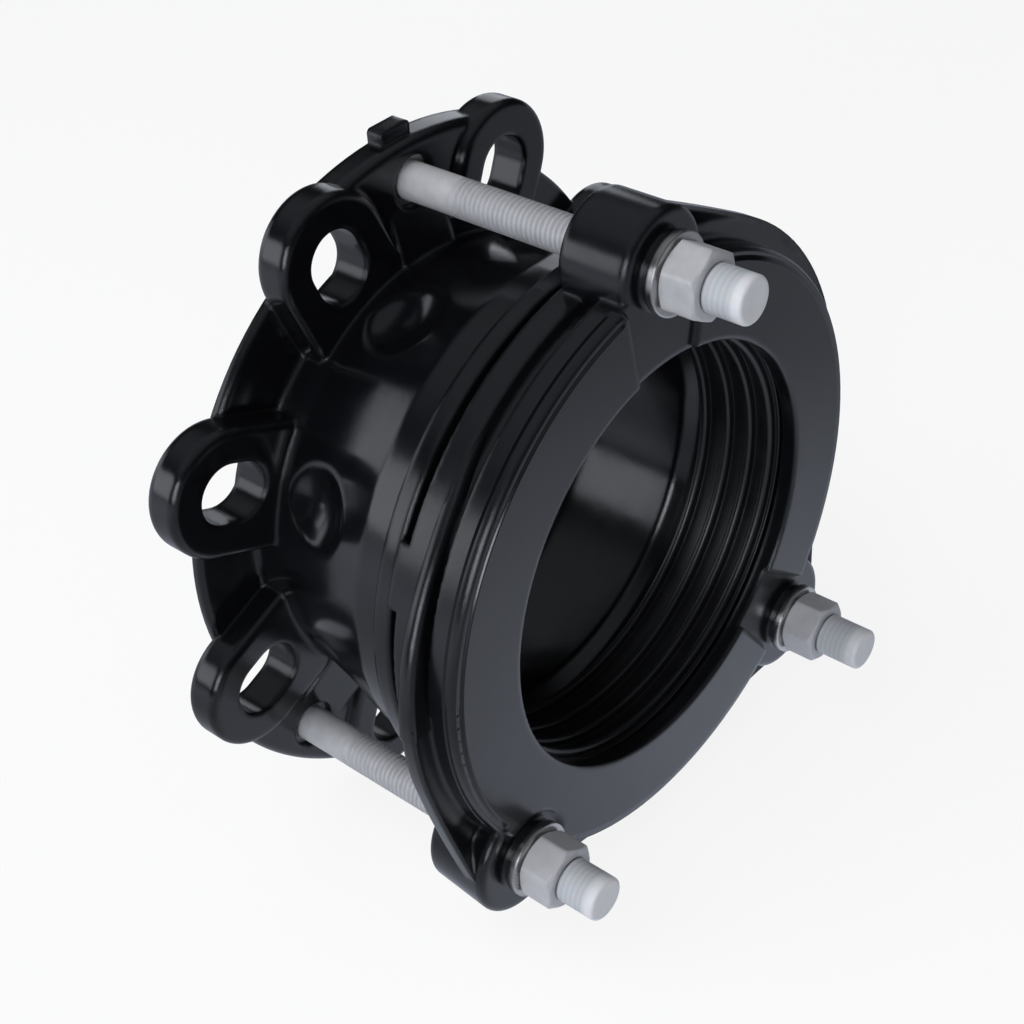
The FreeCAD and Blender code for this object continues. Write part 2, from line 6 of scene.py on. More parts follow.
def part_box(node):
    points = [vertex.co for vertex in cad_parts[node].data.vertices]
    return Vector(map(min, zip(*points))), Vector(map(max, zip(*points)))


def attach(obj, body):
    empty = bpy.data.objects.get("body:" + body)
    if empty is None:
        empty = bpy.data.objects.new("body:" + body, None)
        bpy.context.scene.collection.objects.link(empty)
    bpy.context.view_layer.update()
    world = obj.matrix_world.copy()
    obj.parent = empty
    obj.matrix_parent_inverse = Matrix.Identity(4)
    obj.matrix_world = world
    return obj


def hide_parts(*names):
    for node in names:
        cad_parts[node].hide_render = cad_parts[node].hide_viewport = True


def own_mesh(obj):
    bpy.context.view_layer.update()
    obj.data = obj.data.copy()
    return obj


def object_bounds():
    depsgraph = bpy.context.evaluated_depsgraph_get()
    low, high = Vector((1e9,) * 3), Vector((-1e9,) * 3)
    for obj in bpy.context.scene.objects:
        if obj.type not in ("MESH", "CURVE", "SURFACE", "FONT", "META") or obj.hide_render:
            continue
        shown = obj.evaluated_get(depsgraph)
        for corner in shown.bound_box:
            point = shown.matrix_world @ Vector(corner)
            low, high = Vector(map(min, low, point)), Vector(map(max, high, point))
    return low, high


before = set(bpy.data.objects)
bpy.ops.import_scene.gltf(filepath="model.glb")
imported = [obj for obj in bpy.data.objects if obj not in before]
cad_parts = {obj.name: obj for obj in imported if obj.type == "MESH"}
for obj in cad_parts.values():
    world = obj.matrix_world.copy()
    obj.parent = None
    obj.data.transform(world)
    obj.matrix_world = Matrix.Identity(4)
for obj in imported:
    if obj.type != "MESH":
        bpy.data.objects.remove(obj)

for start_object in ("Cube", "Light", "Camera"):
    if start_object in bpy.data.objects:
        bpy.data.objects.remove(bpy.data.objects[start_object])
cad_low, cad_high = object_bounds()


# Flange body: one casting with eight slotted lugs, a short barrel and a wide mouth.
# Ductile iron, heated and dipped in black powder, which melts to one skin over the whole casting.

COAT_CLOUD = 0.030
COAT_PATCH = 0.012
COAT_SAG = 0.022
COAT_PEEL = 0.004
COAT_EDGE = 0.0022
NOISE_LOW, NOISE_HIGH = 0.3, 0.7


def linear(hex_colour):
    """Linear light values of an sRGB hex colour."""
    channels = [int(hex_colour[i:i + 2], 16) / 255 for i in (1, 3, 5)]
    return tuple(c / 12.92 if c <= 0.04045 else ((c + 0.055) / 1.055) ** 2.4 for c in channels) + (1.0,)


def node(tree, kind, inputs=None, **settings):
    """Adds a node, sets its properties, and fills or links its inputs."""
    made = tree.nodes.new(kind)
    for key, value in settings.items():
        setattr(made, key, value)
    for key, value in (inputs or {}).items():
        if isinstance(value, bpy.types.NodeSocket):
            tree.links.new(value, made.inputs[key])
        else:
            made.inputs[key].default_value = value
    return made


def finish_named(name, **sockets):
    """A new material with its node tree and its shader, whose plain values are set."""
    material = bpy.data.materials.new(name)
    material.use_nodes = True
    shader = material.node_tree.nodes["Principled BSDF"]
    for key, value in sockets.items():
        shader.inputs[key.replace("_", " ")].default_value = value
    return material, material.node_tree, shader


def mottle(tree, shader, shades, shade_pattern, roughness, rough_pattern):
    """Runs the colour between two shades and the roughness between two values, each by a noise.

    Returns the colour's socket.
    """
    tint = node(tree, "ShaderNodeMix", {"Factor": shade_pattern.outputs["Fac"],
                                        "A": linear(shades[0]), "B": linear(shades[1])}, data_type="RGBA")
    tree.links.new(tint.outputs["Result"], shader.inputs["Base Color"])
    rough = node(tree, "ShaderNodeMapRange", {"Value": rough_pattern.outputs["Fac"],
                                              "From Min": NOISE_LOW, "From Max": NOISE_HIGH,
                                              "To Min": roughness[0], "To Max": roughness[1]})
    tree.links.new(rough.outputs["Result"], shader.inputs["Roughness"])
    return tint.outputs["Result"]


def dress(node_name, material):
    """Gives a CAD node its finish."""
    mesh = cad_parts[node_name].data
    mesh.materials.clear()
    mesh.materials.append(material)


def powder_coat(name, shades, roughness, relief=None):
    """Fused black powder on cast iron, with an optional relief of the casting.

    It shows broad soft highlights with a faint orange peel, and every edge looks rounded.
    """
    material, tree, shader = finish_named(name, IOR=1.5)
    spot = node(tree, "ShaderNodeTexCoord").outputs["Object"]
    cloud = node(tree, "ShaderNodeTexNoise", {"Vector": spot, "Scale": 1 / COAT_CLOUD, "Detail": 3.0})
    patch = node(tree, "ShaderNodeTexNoise", {"Vector": spot, "Scale": 1 / COAT_PATCH, "Detail": 4.0})
    mottle(tree, shader, shades, cloud, roughness, patch)
    sag = node(tree, "ShaderNodeTexNoise", {"Vector": spot, "Scale": 1 / COAT_SAG, "Detail": 1.0})
    peel = node(tree, "ShaderNodeTexNoise", {"Vector": spot, "Scale": 1 / COAT_PEEL, "Detail": 2.0})
    normal = node(tree, "ShaderNodeBevel", {"Radius": COAT_EDGE}, samples=6).outputs["Normal"]
    if relief:
        normal = relief(tree, spot, normal)
    for pattern, depth, strength in ((sag, 0.0003, 0.25), (peel, 0.00004, 0.5)):
        normal = node(tree, "ShaderNodeBump", {"Height": pattern.outputs["Fac"], "Distance": depth,
                                               "Strength": strength, "Normal": normal}).outputs["Normal"]
    tree.links.new(normal, shader.inputs["Normal"])
    return material


dress("flange_body", powder_coat("fused_black_powder_on_body", ("#08080a", "#0c0d10"), (0.14, 0.21)))


# Gasket: one moulded ring of black rubber with four round ribs in its bore.
# It sits between the cone in the body's mouth and the pocket of the end ring, and is squeezed as the ring
# comes in. Its nose leaves the pocket room for that. Places are along the pipe axis, from the flange's back.

GROOVE_RADIUS = 0.0694
RIB_PLACES = (0.0696, 0.0788, 0.0874, 0.0950)
RIB_HEIGHT = 0.0030
RIB_ROUND = 0.0016
RIB_FOOT = 0.0002
END_ROUND = 0.0006
BACK_RADIUS = 0.0738
LIP_PLACE, LIP_RADIUS = 0.0755, 0.0791
SHOULDER_PLACE, SHOULDER_ROUND = 0.0782, 0.0007
NOSE_START, NOSE_ROUND, NOSE_ANGLE = 0.0868, 0.0034, 44
TIP_RADIUS, TIP_ROUND = 0.0726, 0.0010
GASKET_STEPS = 180
RUBBER_BLOOM = 0.015
RUBBER_GRAIN = 0.0015


def black_rubber():
    """Moulded rubber, satin with a fine grain, so the ribs show as thin grey lines in the dark bore."""
    material, tree, shader = finish_named("moulded_black_rubber", IOR=1.52)
    spot = node(tree, "ShaderNodeTexCoord").outputs["Object"]
    bloom = node(tree, "ShaderNodeTexNoise", {"Vector": spot, "Scale": 1 / RUBBER_BLOOM, "Detail": 5.0})
    mottle(tree, shader, ("#060607", "#0d0d0f"), bloom, (0.34, 0.46), bloom)
    grain = node(tree, "ShaderNodeTexNoise", {"Vector": spot, "Scale": 1 / RUBBER_GRAIN, "Detail": 2.0})
    skin = node(tree, "ShaderNodeBump", {"Height": grain.outputs["Fac"], "Distance": 0.00003, "Strength": 0.5})
    tree.links.new(skin.outputs["Normal"], shader.inputs["Normal"])
    return material


def piece(name, points, faces, material, crease=None):
    """A mesh of its own, smooth up to a crease angle in degrees, or with flat faces."""
    mesh = bpy.data.meshes.new(name)
    mesh.from_pydata(points, [], faces)
    mesh.materials.append(material)
    mesh.update()
    if crease:
        mesh.shade_smooth()
        mesh.set_sharp_from_angle(angle=math.radians(crease))
    thing = bpy.data.objects.new(name, mesh)
    bpy.context.scene.collection.objects.link(thing)
    return thing


def arc(x, radius, size, start, end, parts=6):
    """Points on a small arc about (x, radius), by angles in degrees."""
    turns = [math.radians(start + (end - start) * i / parts) for i in range(parts + 1)]
    return [(x + size * math.cos(turn), radius + size * math.sin(turn)) for turn in turns]


def gasket_section(back, front, outer_radius):
    """Outline as (x, radius): round the back end, over the wedge to the tip, and back along the ribs."""
    outline = arc(back + END_ROUND, GROOVE_RADIUS + END_ROUND, END_ROUND, -90, -180)
    outline += [(back, BACK_RADIUS), (LIP_PLACE, LIP_RADIUS)]
    outline += arc(SHOULDER_PLACE, outer_radius - SHOULDER_ROUND, SHOULDER_ROUND, 150, 90)
    outline += arc(NOSE_START, outer_radius - NOSE_ROUND, NOSE_ROUND, 90, NOSE_ANGLE)
    outline += arc(front - TIP_ROUND, TIP_RADIUS, TIP_ROUND, NOSE_ANGLE, 0)
    outline += arc(front - END_ROUND, GROOVE_RADIUS + END_ROUND, END_ROUND, 0, -90)
    foot = GROOVE_RADIUS - RIB_FOOT
    crown = GROOVE_RADIUS - RIB_HEIGHT + RIB_ROUND
    for x in reversed(RIB_PLACES):
        outline += arc(x + RIB_ROUND + RIB_FOOT, foot, RIB_FOOT, 90, 180, 4)
        outline += arc(x, crown, RIB_ROUND, 0, -180, 14)
        if x - RIB_ROUND - RIB_FOOT > back + END_ROUND:
            outline += arc(x - RIB_ROUND - RIB_FOOT, foot, RIB_FOOT, 0, 90, 4)
    return outline


def moulded_gasket(name):
    """The section turned about the pipe axis."""
    low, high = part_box("gasket")
    outline = gasket_section(low.x, high.x, high.z)
    count = len(outline)
    points, faces = [], []
    for k in range(GASKET_STEPS):
        turn = 2 * math.pi * k / GASKET_STEPS
        points.extend((x, radius * math.cos(turn), radius * math.sin(turn)) for x, radius in outline)
    for k in range(GASKET_STEPS):
        for i in range(count):
            a, b = k * count, (k + 1) % GASKET_STEPS * count
            faces.append((a + i, a + (i + 1) % count, b + (i + 1) % count, b + i))
    gasket = piece(name, points, faces, black_rubber(), crease=40)
    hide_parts("gasket")
    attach(gasket, "flange")
    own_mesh(gasket)


moulded_gasket("gasket_moulding")


# End ring: one casting with three bolt lugs, a web round its rim and a skirt over the body's lip.
# Same powder finish as the body, a little duller where the pattern left a rougher face. The front face
# steps down near its rim, and the lower left web sinks into the front edge of the band.

BOLT_ANGLES = (90, -45, 225)
BOLT_CIRCLE = 0.0973
FACE_RADIUS = 0.0913
FACE_BACK = 0.1012
FACE_BLEND = 0.001
STEP_DEPTH = 0.0020
STEP_FALL = 0.0019
STEP_RISE = 0.0009
STEP_RISE_SHARE = 0.35
LUG_REACH = 0.0200
LUG_BLEND = 0.003

WEB_END_ANGLE = 179
RUN_OUT_ANGLE = 58
RUN_OUT_PARTS = 64
WEB_LAP = 2.5
WEB_SKIN = 0.00012
WEB_THICKNESS = 0.0048
WEB_EDGE = 0.0021
WEB_LEAN, LEAN_DEPTH = 0.0007, 0.0025
WEB_ROOT = 0.0875
WEB_FRONT, WEB_RADIUS = 0.0963, 0.1025
BAND_FRONT, BAND_RADIUS = 0.0880, 0.0917
START_SHARE = 0.2
FIRST_EDGE_SHARE = 0.2
SINK_SHARE = 0.7
HOLD_SHARE = 0.04
FRONT_CURVE = 1.4


def bolt_axis(number):
    """Where a bolt's axis crosses the flange's plane."""
    turn = math.radians(BOLT_ANGLES[number - 1])
    return Vector((0, BOLT_CIRCLE * math.cos(turn), BOLT_CIRCLE * math.sin(turn)))


def face_step(tree, spot, normal):
    """The normal with a step round the rim of the front face, which lies lower and ends at the lugs."""
    across = node(tree, "ShaderNodeVectorMath", {0: spot, 1: (0, 1, 1)}, operation="MULTIPLY").outputs["Vector"]
    radius = node(tree, "ShaderNodeVectorMath", {0: across}, operation="LENGTH").outputs["Value"]
    low = FACE_RADIUS + STEP_FALL
    fall = node(tree, "ShaderNodeMapRange", {"Value": radius, "From Min": FACE_RADIUS, "From Max": low},
                interpolation_type="SMOOTHSTEP")
    rise = node(tree, "ShaderNodeMapRange", {"Value": radius, "From Min": low, "From Max": low + STEP_RISE,
                                             "To Max": STEP_RISE_SHARE}, interpolation_type="SMOOTHSTEP")
    depth = node(tree, "ShaderNodeMath", {0: fall.outputs["Result"], 1: rise.outputs["Result"]},
                 operation="SUBTRACT").outputs[0]
    along = node(tree, "ShaderNodeSeparateXYZ", {"Vector": spot}).outputs["X"]
    share = node(tree, "ShaderNodeMapRange", {"Value": along, "From Min": FACE_BACK,
                                              "From Max": FACE_BACK + FACE_BLEND}).outputs["Result"]
    for number in (1, 2, 3):
        reach = node(tree, "ShaderNodeVectorMath", {0: across, 1: bolt_axis(number)}, operation="DISTANCE")
        clear = node(tree, "ShaderNodeMapRange", {"Value": reach.outputs["Value"], "From Min": LUG_REACH,
                                                  "From Max": LUG_REACH + LUG_BLEND})
        share = node(tree, "ShaderNodeMath", {0: share, 1: clear.outputs["Result"]},
                     operation="MULTIPLY").outputs[0]
    lowered = node(tree, "ShaderNodeMath", {0: depth, 1: share}, operation="MULTIPLY").outputs[0]
    return node(tree, "ShaderNodeBump", {"Height": lowered, "Distance": STEP_DEPTH, "Strength": 1.0,
                                         "Normal": normal}, invert=True).outputs["Normal"]


def web_section(along):
    """Section of the web as (x, radius), at a share of its way from full height into the band."""
    fall = min(1.0, along / SINK_SHARE)
    radius = WEB_RADIUS + WEB_SKIN - (WEB_RADIUS - BAND_RADIUS) * fall * fall * (3 - 2 * fall)
    rise = (1 - max(0.0, along - HOLD_SHARE)) ** FRONT_CURVE
    front = BAND_FRONT + (WEB_FRONT - BAND_FRONT) * rise + WEB_SKIN
    back = front - WEB_THICKNESS - 2 * WEB_SKIN
    edge = WEB_EDGE * min(1.0, FIRST_EDGE_SHARE + along / START_SHARE)
    lean = WEB_LEAN * max(0.0, 1 - along / START_SHARE)
    section = [(back, WEB_ROOT)] + arc(back + edge, radius - edge, edge, 180, 90)
    section += arc(front + lean - edge, radius - edge, edge, 90, 0)
    return section + [(front, radius - LEAN_DEPTH), (front, WEB_ROOT)]


def web_run_out(name, coat):
    """Last stretch of the rim web on the left. It laps over the end of the solid web by a few degrees."""
    points, faces = [], []
    for i in range(RUN_OUT_PARTS + 1):
        along = i / RUN_OUT_PARTS
        turn = math.radians(WEB_END_ANGLE + WEB_LAP - (RUN_OUT_ANGLE + WEB_LAP) * along)
        section = web_section(along)
        points.extend((x, radius * math.cos(turn), radius * math.sin(turn)) for x, radius in section)
    count = len(section)
    for i in range(RUN_OUT_PARTS):
        for k in range(count):
            m = (k + 1) % count
            faces.append((i * count + k, (i + 1) * count + k, (i + 1) * count + m, i * count + m))
    faces.append(tuple(RUN_OUT_PARTS * count + k for k in reversed(range(count))))
    web = piece(name, points, faces, coat, crease=40)
    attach(web, "ring")


ring_coat = powder_coat("fused_black_powder_on_ring", ("#0a0a0c", "#0f1013"), (0.18, 0.25), face_step)
dress("end_ring", ring_coat)
web_run_out("ring_web_run_out", ring_coat)


# Clamp bolts, nuts and washers: the bolts hang in the body's pockets by their heads, and the nuts press
# the washers on the lugs. Bolts and nuts are steel with a dull light grey zinc coat, the washers are
# stamped from bright stainless sheet.

THREAD_PITCH = 0.00175
THREAD_CREST = 0.00595
THREAD_ROOT = 0.0050
THREAD_START = 0.030
THREAD_PROFILE = ((0.0, THREAD_ROOT), (0.13, THREAD_ROOT), (0.44, THREAD_CREST), (0.69, THREAD_CREST))
THREAD_STEPS = 28
RUN_IN_TURNS = 1.2
SHANK = 0.00588
SHANK_BACK = 0.0095
SHANK_FRONT, SHANK_END = THREAD_START + 0.0006, THREAD_START + 0.0028
CORE = THREAD_ROOT + 0.0001
CORE_LENGTH = 0.004
CORE_CHAMFER = 0.0012
TIP_CHAMFER = 0.0008
HEAD_HALF_FLATS = 0.009
HEAD_HEIGHT = 0.0075
HEAD_CHAMFER_DEPTH, HEAD_CHAMFER_HEIGHT = 0.0008, 0.0006
NUT_HALF_FLATS = 0.0095
NUT_CORNER_SIZE = 0.0009
NUT_FACE_RADIUS = 0.0091
NUT_THREAD_RADIUS = 0.00603
NUT_COUNTERSINK = 0.0007
NUT_CONE_STEP = 0.00012
NUT_TURNS = (31, 45, 30)
ZINC_CLOUD = 0.003
ZINC_GRAIN = 0.0006
ZINC_EDGE = 0.0009
SHEET_CLOUD = 0.008
SHEET_EDGE = 0.0013


def dull_zinc():
    """Zinc coat on steel. It is matt and light grey, with a grain that is drawn coarser than the real one."""
    material, tree, shader = finish_named("dull_zinc_on_steel", Metallic=0.25)
    spot = node(tree, "ShaderNodeTexCoord").outputs["Object"]
    cloud = node(tree, "ShaderNodeTexNoise", {"Vector": spot, "Scale": 1 / ZINC_CLOUD, "Detail": 5.0})
    mottle(tree, shader, ("#acacaf", "#c6c6c9"), cloud, (0.48, 0.62), cloud)
    grain = node(tree, "ShaderNodeTexNoise", {"Vector": spot, "Scale": 1 / ZINC_GRAIN, "Detail": 2.0})
    edge = node(tree, "ShaderNodeBevel", {"Radius": ZINC_EDGE}, samples=6)
    skin = node(tree, "ShaderNodeBump", {"Height": grain.outputs["Fac"], "Distance": 0.00004, "Strength": 0.6,
                                         "Normal": edge.outputs["Normal"]})
    tree.links.new(skin.outputs["Normal"], shader.inputs["Normal"])
    return material


def stainless_sheet():
    """Stamped stainless sheet. It is bright, with rolled edges that catch a thin line of light."""
    material, tree, shader = finish_named("stamped_stainless_steel", Metallic=1.0)
    spot = node(tree, "ShaderNodeTexCoord").outputs["Object"]
    cloud = node(tree, "ShaderNodeTexNoise", {"Vector": spot, "Scale": 1 / SHEET_CLOUD, "Detail": 2.0})
    mottle(tree, shader, ("#a5a3a1", "#b9b7b5"), cloud, (0.27, 0.33), cloud)
    edge = node(tree, "ShaderNodeBevel", {"Radius": SHEET_EDGE}, samples=8)
    tree.links.new(edge.outputs["Normal"], shader.inputs["Normal"])
    return material


def rolled_bolt(number, finish):
    """Hexagon head, plain shank and a rolled thread out to the tip."""
    low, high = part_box("clamp_bolt_%d" % number)
    axis = bolt_axis(number)
    points, faces = [], []

    def spot(x, radius, turn):
        points.append((x, axis.y + radius * math.cos(turn), axis.z + radius * math.sin(turn)))
        return len(points) - 1

    def tube(stations, sides, start=0.0):
        """Rings of points at (x, radius), joined by faces."""
        step = 2 * math.pi / sides
        rings = [[spot(x, radius, start + step * k) for k in range(sides)] for x, radius in stations]
        for a, b in zip(rings, rings[1:]):
            for k in range(sides):
                m = (k + 1) % sides
                faces.append((a[k], b[k], b[m], a[m]))
        return rings

    rows = []
    steps = int(round((high.x - TIP_CHAMFER - THREAD_START) / THREAD_PITCH * THREAD_STEPS))
    for i in range(steps + 1):
        turn = 2 * math.pi * i / THREAD_STEPS
        x = THREAD_START + THREAD_PITCH * i / THREAD_STEPS
        run_in = min(1.0, i / (RUN_IN_TURNS * THREAD_STEPS))
        rows.append([spot(x + share * THREAD_PITCH, SHANK + (radius - SHANK) * run_in, turn)
                     for share, radius in THREAD_PROFILE])
    for i in range(steps):
        for k in range(3):
            faces.append((rows[i][k], rows[i][k + 1], rows[i + 1][k + 1], rows[i + 1][k]))
        if i + THREAD_STEPS + 1 <= steps:
            faces.append((rows[i][3], rows[i + THREAD_STEPS][0], rows[i + THREAD_STEPS + 1][0], rows[i + 1][3]))

    tube(((SHANK_BACK, SHANK), (SHANK_FRONT, SHANK), (SHANK_END, THREAD_ROOT)), THREAD_STEPS)
    core = tube(((high.x - CORE_LENGTH, CORE), (high.x - CORE_CHAMFER, CORE),
                 (high.x, THREAD_ROOT - TIP_CHAMFER)), THREAD_STEPS)
    faces.append(tuple(core[-1]))
    corner = HEAD_HALF_FLATS / math.cos(math.pi / 6)
    head = tube(((low.x, corner - HEAD_CHAMFER_DEPTH), (low.x + HEAD_CHAMFER_HEIGHT, corner),
                 (low.x + HEAD_HEIGHT, corner)), 6, math.atan2(axis.z, axis.y) - math.pi / 2)
    faces.extend((tuple(head[0]), tuple(head[-1])))
    bolt = piece("clamp_bolt_%d_rolled" % number, points, faces, finish, crease=32)
    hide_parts("clamp_bolt_%d" % number)
    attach(bolt, "flange")


def hexagon(first_corner):
    """Points round a nut, as vectors from its axis: seven on each round corner and 11 along each flat."""
    reach = (NUT_HALF_FLATS - NUT_CORNER_SIZE) / math.cos(math.pi / 6)

    def on_corner(corner, turn):
        return Vector((reach * math.cos(corner) + NUT_CORNER_SIZE * math.cos(turn),
                       reach * math.sin(corner) + NUT_CORNER_SIZE * math.sin(turn)))

    outline = []
    for k in range(6):
        corner = math.radians(first_corner + 60 * k)
        outline.extend(on_corner(corner, corner + math.radians(-30 + 10 * i)) for i in range(7))
        start, end = outline[-1], on_corner(corner + math.pi / 3, corner + math.pi / 6)
        outline.extend(start.lerp(end, i / 12) for i in range(1, 12))
    return outline


def cold_formed_nut(number, finish):
    """Hexagon nut with soft corners, cut back by a cone at both ends, and a countersunk hole."""
    low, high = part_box("nut_%d" % number)
    axis = bolt_axis(number)
    outline = hexagon(NUT_TURNS[number - 1])
    depths = [NUT_CONE_STEP * i for i in range(9)]
    rows = [(low.x + depth, NUT_FACE_RADIUS + depth / math.tan(math.pi / 6)) for depth in depths]
    rows += [(high.x - depth, NUT_FACE_RADIUS + depth / math.tan(math.pi / 6)) for depth in reversed(depths)]
    rows += [(high.x, NUT_THREAD_RADIUS + NUT_COUNTERSINK), (high.x - NUT_COUNTERSINK, NUT_THREAD_RADIUS)]
    rows += [(low.x + NUT_COUNTERSINK, NUT_THREAD_RADIUS), (low.x, NUT_THREAD_RADIUS + NUT_COUNTERSINK)]
    points, faces = [], []
    for x, limit in rows:
        for corner in outline:
            spot = corner * min(1.0, limit / corner.length)
            points.append((x, axis.y + spot.x, axis.z + spot.y))
    count = len(outline)
    for i in range(len(rows)):
        for k in range(count):
            a, b, m = i * count, (i + 1) % len(rows) * count, (k + 1) % count
            faces.append((a + k, a + m, b + m, b + k))
    nut = piece("nut_%d_cold_formed" % number, points, faces, finish, crease=24)
    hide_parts("nut_%d" % number)
    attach(nut, "nut_%d" % number)


zinc = dull_zinc()
stainless = stainless_sheet()
for number in (1, 2, 3):
    rolled_bolt(number, zinc)
    cold_formed_nut(number, zinc)
    dress("washer_%d" % number, stainless)


# Thread caps: pushed over the bolt tips to keep the threads clean.
# Moulded in natural polyethylene, solid at the tip and thin over the thread.

CAP_CLOUD = 0.004
CAP_EDGE = 0.0010
CAP_SOLID_FROM, CAP_SOLID_TO = 0.62, 0.84
DRAW_LINES_PER_METRE = 1400.0
DRAW_BREAKS_PER_METRE = 40.0


def frosted_polyethylene():
    """Milky plastic with draw lines, coarser than the real ones.

    Over the thin wall the colour is a painted shade of the thread behind it, greyer than the solid end, with a
    faint painted band to a turn.
    """
    material, tree, shader = finish_named("frosted_polyethylene", IOR=1.51, Subsurface_Weight=0.25,
                                          Subsurface_Scale=0.002)
    place = node(tree, "ShaderNodeTexCoord")
    spot = place.outputs["Object"]
    cloud = node(tree, "ShaderNodeTexNoise", {"Vector": spot, "Scale": 1 / CAP_CLOUD, "Detail": 3.0})
    thick = mottle(tree, shader, ("#cbcdd0", "#dadbdd"), cloud, (0.36, 0.5), cloud)
    # Painted shade of the thread seen through the thin wall: a greyer colour with a faint band to a turn, used
    # where the wall is thin.
    bands = node(tree, "ShaderNodeTexWave", {"Vector": spot, "Scale": math.pi / (10 * THREAD_PITCH),
                                             "Distortion": 0.6, "Detail": 1.0})
    thin = node(tree, "ShaderNodeMix", {"Factor": bands.outputs["Fac"], "A": linear("#adb0b5"),
                                        "B": linear("#b8bbbf")}, data_type="RGBA")
    along = node(tree, "ShaderNodeSeparateXYZ", {"Vector": place.outputs["Generated"]})
    solid = node(tree, "ShaderNodeMapRange", {"Value": along.outputs["X"], "From Min": CAP_SOLID_FROM,
                                              "From Max": CAP_SOLID_TO}, interpolation_type="SMOOTHSTEP")
    tint = node(tree, "ShaderNodeMix", {"Factor": solid.outputs["Result"], "A": thin.outputs["Result"],
                                        "B": thick}, data_type="RGBA")
    tree.links.new(tint.outputs["Result"], shader.inputs["Base Color"])
    lines = (DRAW_BREAKS_PER_METRE, DRAW_LINES_PER_METRE, DRAW_LINES_PER_METRE)
    stretch = node(tree, "ShaderNodeMapping", {"Vector": spot, "Scale": lines})
    draw = node(tree, "ShaderNodeTexNoise", {"Vector": stretch.outputs["Vector"], "Scale": 1.0, "Detail": 1.0})
    edge = node(tree, "ShaderNodeBevel", {"Radius": CAP_EDGE}, samples=6)
    skin = node(tree, "ShaderNodeBump", {"Height": draw.outputs["Fac"], "Distance": 0.0001, "Strength": 0.7,
                                         "Normal": edge.outputs["Normal"]})
    tree.links.new(skin.outputs["Normal"], shader.inputs["Normal"])
    return material


cap_plastic = frosted_polyethylene()
for number in (1, 2, 3):
    dress("thread_cap_%d" % number, cap_plastic)


# Studio: a wide white paper floor, a dim ceiling and soft boxes in front, on the left and behind.
# The camera stands where the photograph was taken.

FLOOR_REACH = 12
# Centre and leftward side of the floor's painted reflection glow, seen only in glossy rays.
PAINTED_GLOW_CENTRE = (0.12, 0.05, cad_low.z)
LEFTWARD = (-0.64, -0.77, 0.0)
MIRRORED_SHARE = 0.85
SEEN_SHARE = 0.86
LAMP_TARGET = Vector((0.05, 0, 0))
CAMERA_PLACE = (0.3551, -0.3366, 0.3335)
CAMERA_FORWARD = (-0.544, 0.587, -0.600)
CAMERA_UP = (-0.358, 0.484, 0.798)
CAMERA_LENS = 63.07


def studio_paper():
    """Matt white paper, which the camera sees as plain white with the object's shadow.

    In glossy rays it is a painted glow, brightest close to the object and on the left, which the black coat
    mirrors as a painted reflection.
    """
    material, tree, shader = finish_named("white_studio_floor", Roughness=0.9, Base_Color=linear("#f2f2f2"))
    path = node(tree, "ShaderNodeLightPath")
    spot = node(tree, "ShaderNodeTexCoord").outputs["Object"]
    # Painted reflection: in glossy rays the floor glows brightest near this centre and towards the left.
    far = node(tree, "ShaderNodeVectorMath", {0: spot, 1: PAINTED_GLOW_CENTRE}, operation="DISTANCE")
    near = node(tree, "ShaderNodeMapRange", {"Value": far.outputs["Value"], "From Min": 0.02, "From Max": 0.24,
                                             "To Min": 1.18, "To Max": 0.42})
    left = node(tree, "ShaderNodeVectorMath", {0: spot, 1: LEFTWARD}, operation="DOT_PRODUCT")
    side = node(tree, "ShaderNodeMapRange", {"Value": left.outputs["Value"], "From Min": 0.1, "From Max": 0.5,
                                             "To Min": 0.3, "To Max": 0.82})
    paper = node(tree, "ShaderNodeMath", {0: near.outputs["Result"], 1: side.outputs["Result"]},
                 operation="MAXIMUM")
    seen = node(tree, "ShaderNodeMath", {0: path.outputs["Is Camera Ray"],
                                         1: path.outputs["Is Transmission Ray"]},
                operation="MAXIMUM").outputs[0]
    mirrored = path.outputs["Is Glossy Ray"]
    seen_share = node(tree, "ShaderNodeMath", {0: seen, 1: SEEN_SHARE}, operation="MULTIPLY")
    mirrored_share = node(tree, "ShaderNodeMath", {0: mirrored, 1: MIRRORED_SHARE}, operation="MULTIPLY")
    share = node(tree, "ShaderNodeMath", {0: mirrored_share.outputs[0], 1: seen_share.outputs[0]},
                 operation="MAXIMUM")
    # Glossy rays get the painted reflection glow with a bluish tint. The camera sees plain white.
    level = node(tree, "ShaderNodeMix", {"Factor": seen, "A": paper.outputs["Value"], "B": 1.0},
                 data_type="FLOAT")
    tone = node(tree, "ShaderNodeMix", {"Factor": seen, "A": linear("#dee6f8"), "B": (1, 1, 1, 1)},
                data_type="RGBA")
    glow = node(tree, "ShaderNodeEmission", {"Color": tone.outputs["Result"],
                                             "Strength": level.outputs["Result"]})
    blend = node(tree, "ShaderNodeMixShader", {"Fac": share.outputs[0], 1: shader.outputs["BSDF"],
                                               2: glow.outputs["Emission"]})
    tree.links.new(blend.outputs["Shader"], tree.nodes["Material Output"].inputs["Surface"])
    return material


def dim_ceiling(name):
    """World light: nearly dark round the sides, soft from above."""
    world = bpy.data.worlds.new(name)
    bpy.context.scene.world = world
    world.use_nodes = True
    tree = world.node_tree
    place = node(tree, "ShaderNodeTexCoord")
    height = node(tree, "ShaderNodeSeparateXYZ", {"Vector": place.outputs["Generated"]})
    ceiling = node(tree, "ShaderNodeMapRange", {"Value": height.outputs["Z"], "From Min": 0.5, "From Max": 0.8,
                                                "To Min": 0.03, "To Max": 0.36},
                   interpolation_type="SMOOTHSTEP")
    tree.links.new(ceiling.outputs["Result"], tree.nodes["Background"].inputs["Strength"])
    tree.nodes["Background"].inputs["Color"].default_value = linear("#e6ecf5")


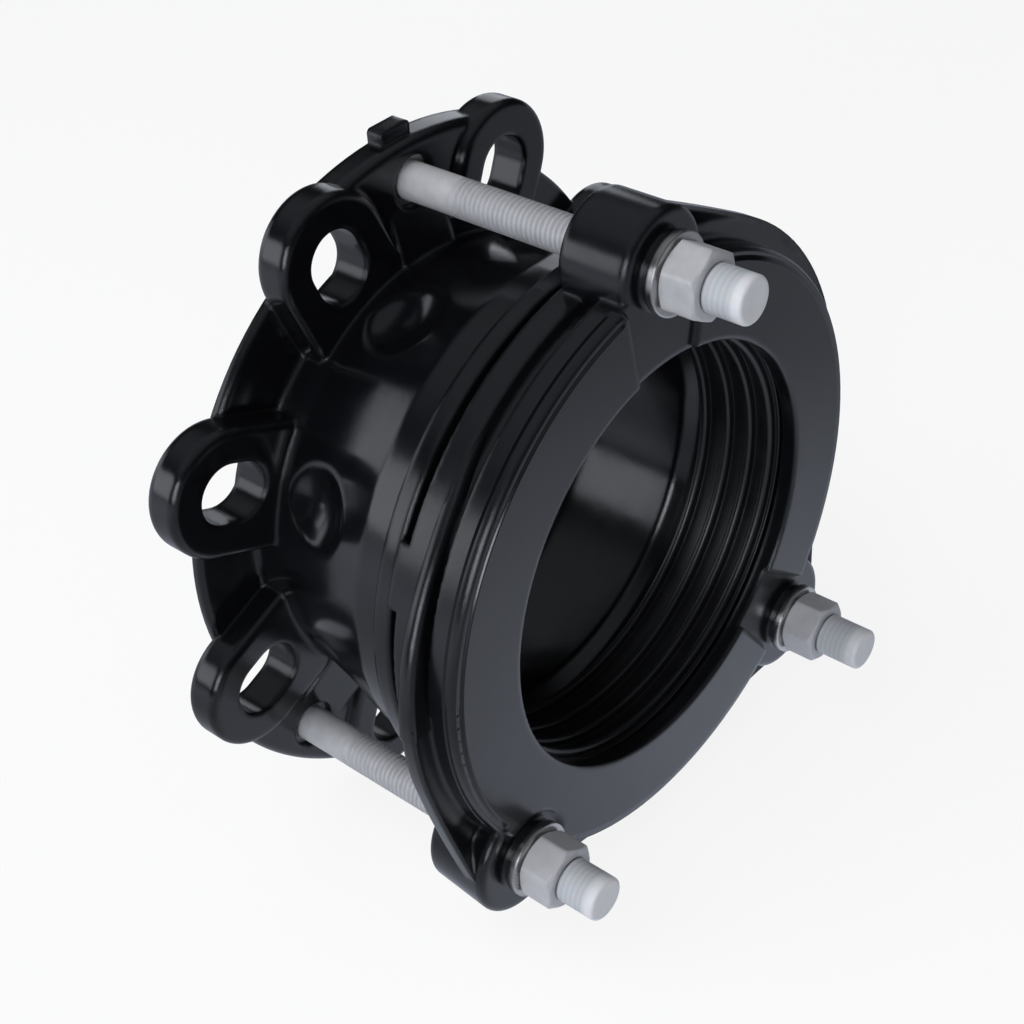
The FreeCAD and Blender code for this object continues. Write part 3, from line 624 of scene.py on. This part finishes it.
def soft_box(name, azimuth, elevation, width, height, radiance, distance=1.2, in_reflections=True,
             tone="#ebf0f9"):
    """Rectangular lamp that faces the object from a direction in degrees, with its light in W/m2/sr."""
    turn, lift = math.radians(azimuth), math.radians(elevation)
    away = Vector((math.cos(lift) * math.cos(turn), math.cos(lift) * math.sin(turn), math.sin(lift)))
    data = bpy.data.lights.new(name, "AREA")
    data.shape = "RECTANGLE"
    data.size, data.size_y = width, height
    data.color = linear(tone)[:3]
    data.energy = radiance * math.pi * width * height
    lamp = bpy.data.objects.new(name, data)
    lamp.location = LAMP_TARGET + away * distance
    lamp.rotation_mode = "QUATERNION"
    lamp.rotation_quaternion = (-away).to_track_quat("-Z", "Y")
    lamp.visible_glossy = in_reflections
    bpy.context.scene.collection.objects.link(lamp)


def photo_camera(name):
    """Camera at the photograph's place and angle."""
    data = bpy.data.cameras.new(name)
    data.lens = CAMERA_LENS
    data.sensor_width = 36.0
    data.clip_start = 0.01
    camera = bpy.data.objects.new(name, data)
    forward = Vector(CAMERA_FORWARD).normalized()
    right = forward.cross(Vector(CAMERA_UP)).normalized()
    up = right.cross(forward)
    turn = Matrix((right, up, -forward)).transposed().to_4x4()
    camera.matrix_world = Matrix.Translation(CAMERA_PLACE) @ turn
    bpy.context.scene.collection.objects.link(camera)
    bpy.context.scene.camera = camera


paper_corners = [(x * FLOOR_REACH, y * FLOOR_REACH, cad_low.z)
                 for x, y in ((-1, -1), (1, -1), (1, 1), (-1, 1))]
piece("studio_floor", paper_corners, [(0, 1, 2, 3)], studio_paper())
dim_ceiling("dim_studio")
soft_box("front_soft_box", -62, 17, 0.38, 0.52, 6.0)
soft_box("front_strip_lamp", -62, 17, 0.09, 0.48, 14.0, 1.15)
soft_box("left_soft_box", -130, 15, 0.60, 0.50, 2.4)
soft_box("far_left_panel", -160, 15, 0.50, 0.50, 1.7)
soft_box("back_soft_box", 130, 17, 0.28, 0.60, 1.5)
soft_box("fill_above", -100, 56, 1.2, 1.2, 3.4, 1.6, in_reflections=False, tone="#f8f7f6")
soft_box("fill_right", 20, 35, 1.0, 1.0, 0.6, 1.6, in_reflections=False, tone="#f8f7f6")
photo_camera("photo_camera")
bpy.context.scene.view_settings.view_transform = "Standard"
